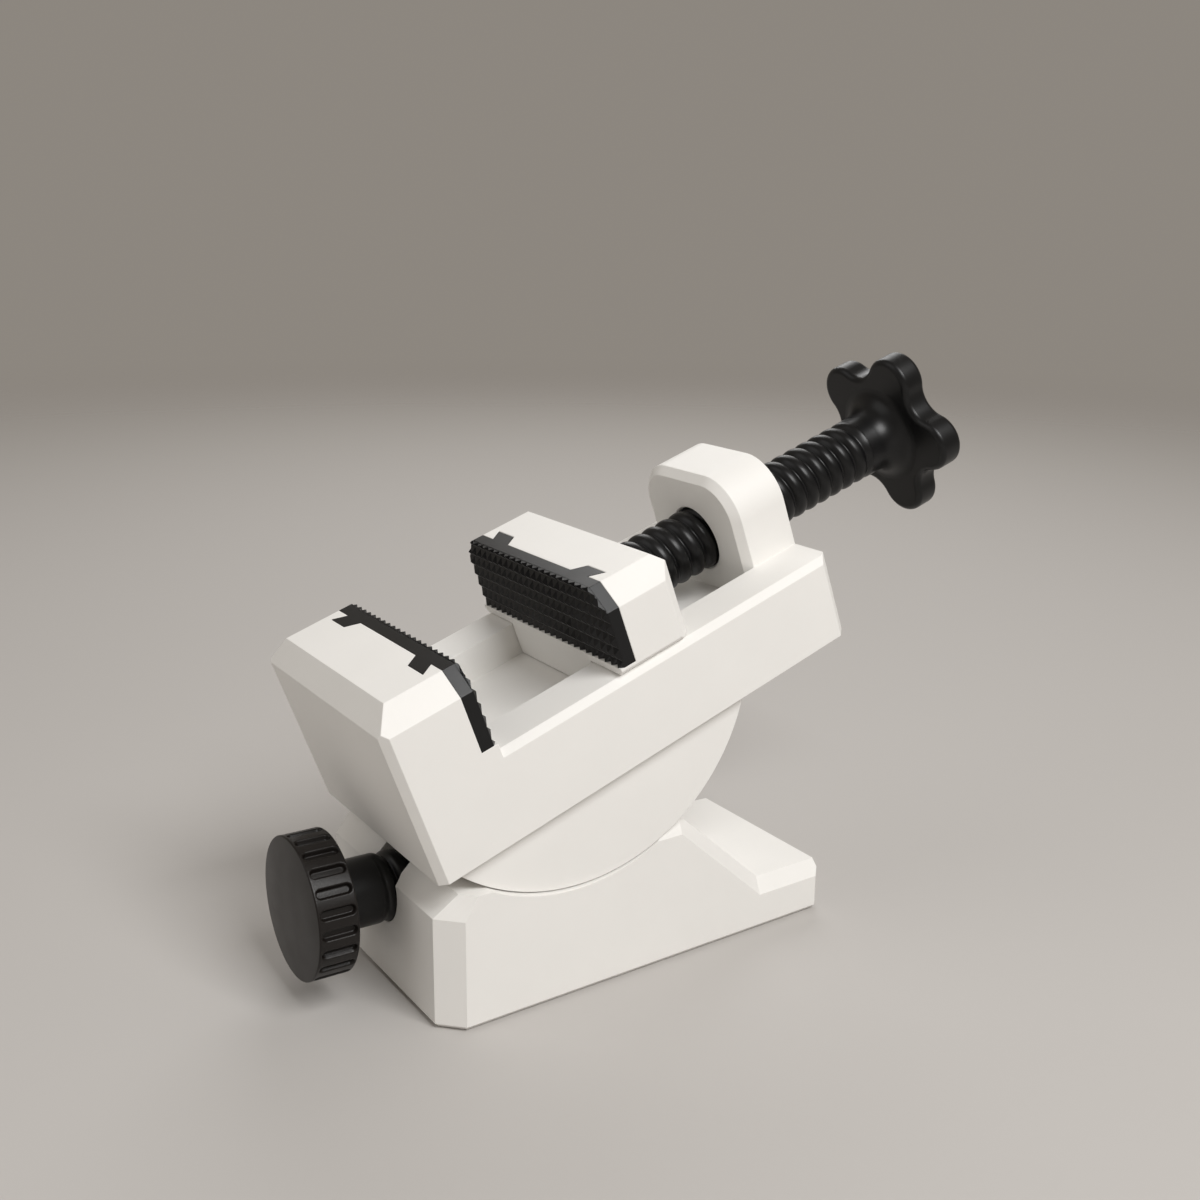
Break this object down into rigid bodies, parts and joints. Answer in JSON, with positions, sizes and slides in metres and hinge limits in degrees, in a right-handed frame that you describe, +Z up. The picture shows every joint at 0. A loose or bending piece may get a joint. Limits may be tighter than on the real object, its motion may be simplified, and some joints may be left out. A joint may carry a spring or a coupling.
{
  "type": "tilting bench vise",
  "caption": "Small tilting bench vise: a screw-driven jaw on a slide bed whose round sector rocks in a cradle base and is clamped by a front lock knob.",
  "frame": {"origin": "on the bench, under the middle of the base", "axes": "+Y from the lock knob at the front to the star knob at the rear, +X to one side, +Z up"},
  "size_m": [0.06, 0.1732, 0.1319],
  "materials": {
    "base": "matt, faint print layers",
    "bed": "matt, faint print layers",
    "sector": "matt, faint print layers",
    "jaw": "matt, faint print layers",
    "insert": "satin",
    "screw": "satin",
    "bolt": "zinc plated"
  },
  "bodies": {
    "base": {"base_block": "base"},
    "bed": {"tilt_body": "bed", "tilt_sector": "sector", "sector_bolts": "bolt", "fixed_insert": "insert"},
    "jaw": {"moving_jaw": "jaw", "moving_insert": "insert", "screw_clip": "screw"},
    "screw": {"lead_screw": "screw", "star_knob": "screw"},
    "shoe": {"lock_shoe": "screw"},
    "lock": {"lock_screw": "screw", "lock_knob": "screw"}
  },
  "joints": [
    {"name": "tilt", "type": "hinge", "parent": "base", "child": "bed", "pos_m": [0, -0.0198, 0.0702], "axis": [1, 0, 0], "range_deg": [-38, 4]},
    {"name": "jaw_slide", "type": "slide", "parent": "bed", "child": "jaw", "axis": [0, 0.9397, 0.342], "range_m": [-0.0305, 0.0243]},
    {"name": "screw_turn", "type": "hinge", "parent": "jaw", "child": "screw", "pos_m": [0, -0.00412, 0.07771], "axis": [0, 0.9397, 0.342], "range_deg": [-2746, 2188]},
    {"name": "lock_slide", "type": "slide", "parent": "base", "child": "shoe", "axis": [0, 1, 0], "range_m": [-0.0026, 0.00025]},
    {"name": "lock_turn", "type": "hinge", "parent": "shoe", "child": "lock", "pos_m": [0, -0.052, 0.022], "axis": [0, 1, 0], "range_deg": [-235, 24]}
  ],
  "couplings": [
    {"joint": "screw_turn", "follows": "jaw_slide", "rad_per_m": 1570.8},
    {"joint": "lock_turn", "follows": "lock_slide", "rad_per_m": 1570.8}
  ]
}
